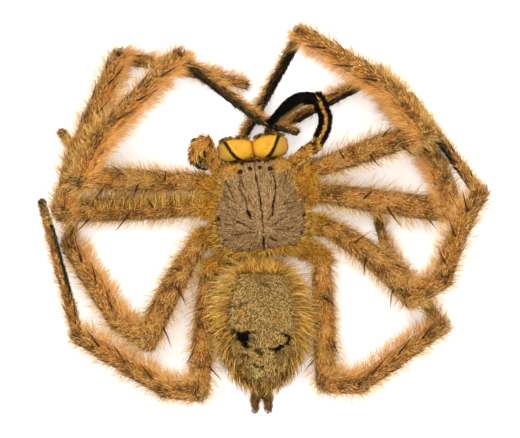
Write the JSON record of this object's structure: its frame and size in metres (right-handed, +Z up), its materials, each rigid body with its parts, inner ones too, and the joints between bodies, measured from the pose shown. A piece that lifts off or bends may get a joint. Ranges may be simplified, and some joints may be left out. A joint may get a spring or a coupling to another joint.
{
  "type": "huntsman spider",
  "caption": "Still life-size huntsman spider, resting flat on its belly with its long, hairy and spined legs folded round its body.",
  "frame": {"origin": "on the floor under the middle of the sternum, which rests there", "axes": "+Z up, head towards -Y with the front body turned a few degrees, the spider's left towards +X"},
  "size_m": [0.0502, 0.0436, 0.0092],
  "materials": {
    "leg_coat": "brown cuticle under a golden-brown bristly coat with grey patches",
    "leg_scopula": "dark grey-green brush of short dense hair",
    "golden_coat": "yellow-gold hair over pale cuticle",
    "carapace": "grey-brown cuticle with short speckled pile and dark furrows",
    "abdomen": "olive grey-brown speckled pile with black marks",
    "chelicera": "smooth amber-yellow cuticle with a black stripe",
    "palp_brush": "black dense hair",
    "spinneret": "brown hair with dark tips",
    "eye": "glossy black lens"
  },
  "bodies": {
    "root": {"leg_left_1_femur": "leg_coat", "leg_left_1_patella": "leg_coat", "leg_left_1_tibia": "leg_coat", "leg_left_1_metatarsus": "leg_scopula", "leg_left_1_tarsus": "leg_scopula", "leg_left_2_femur": "leg_coat", "leg_left_2_patella": "leg_coat", "leg_left_2_tibia": "leg_coat", "leg_left_2_metatarsus": "leg_scopula", "leg_left_2_tarsus": "leg_scopula", "leg_left_3_femur": "leg_coat", "leg_left_3_patella": "leg_coat", "leg_left_3_tibia": "leg_coat", "leg_left_3_metatarsus": "leg_scopula", "leg_left_3_tarsus": "leg_scopula", "leg_left_4_femur": "leg_coat", "leg_left_4_patella": "leg_coat", "leg_left_4_tibia": "leg_coat", "leg_left_4_metatarsus": "leg_scopula", "leg_left_4_tarsus": "leg_scopula", "palp_left_femur": "golden_coat", "palp_left_tibia": "golden_coat", "palp_left_tarsus": "palp_brush", "chelicera_left": "chelicera", "eye_left_front_middle": "eye", "eye_left_front_side": "eye", "eye_left_rear_middle": "eye", "eye_left_rear_side": "eye", "leg_right_1_femur": "leg_coat", "leg_right_1_patella": "leg_coat", "leg_right_1_tibia": "leg_coat", "leg_right_1_metatarsus": "leg_scopula", "leg_right_1_tarsus": "leg_scopula", "leg_right_2_femur": "leg_coat", "leg_right_2_patella": "leg_coat", "leg_right_2_tibia": "leg_coat", "leg_right_2_metatarsus": "leg_scopula", "leg_right_2_tarsus": "leg_scopula", "leg_right_3_femur": "leg_coat", "leg_right_3_patella": "leg_coat", "leg_right_3_tibia": "leg_coat", "leg_right_3_metatarsus": "leg_scopula", "leg_right_3_tarsus": "leg_scopula", "leg_right_4_femur": "leg_coat", "leg_right_4_patella": "leg_coat", "leg_right_4_tibia": "leg_coat", "leg_right_4_metatarsus": "leg_scopula", "leg_right_4_tarsus": "leg_scopula", "palp_right_femur": "golden_coat", "palp_right_tibia": "golden_coat", "palp_right_tarsus": "palp_brush", "chelicera_right": "chelicera", "eye_right_front_middle": "eye", "eye_right_front_side": "eye", "eye_right_rear_middle": "eye", "eye_right_rear_side": "eye", "carapace": "carapace", "sternum": "golden_coat", "abdomen": "abdomen", "spinnerets": "spinneret"}
  },
  "joints": []
}
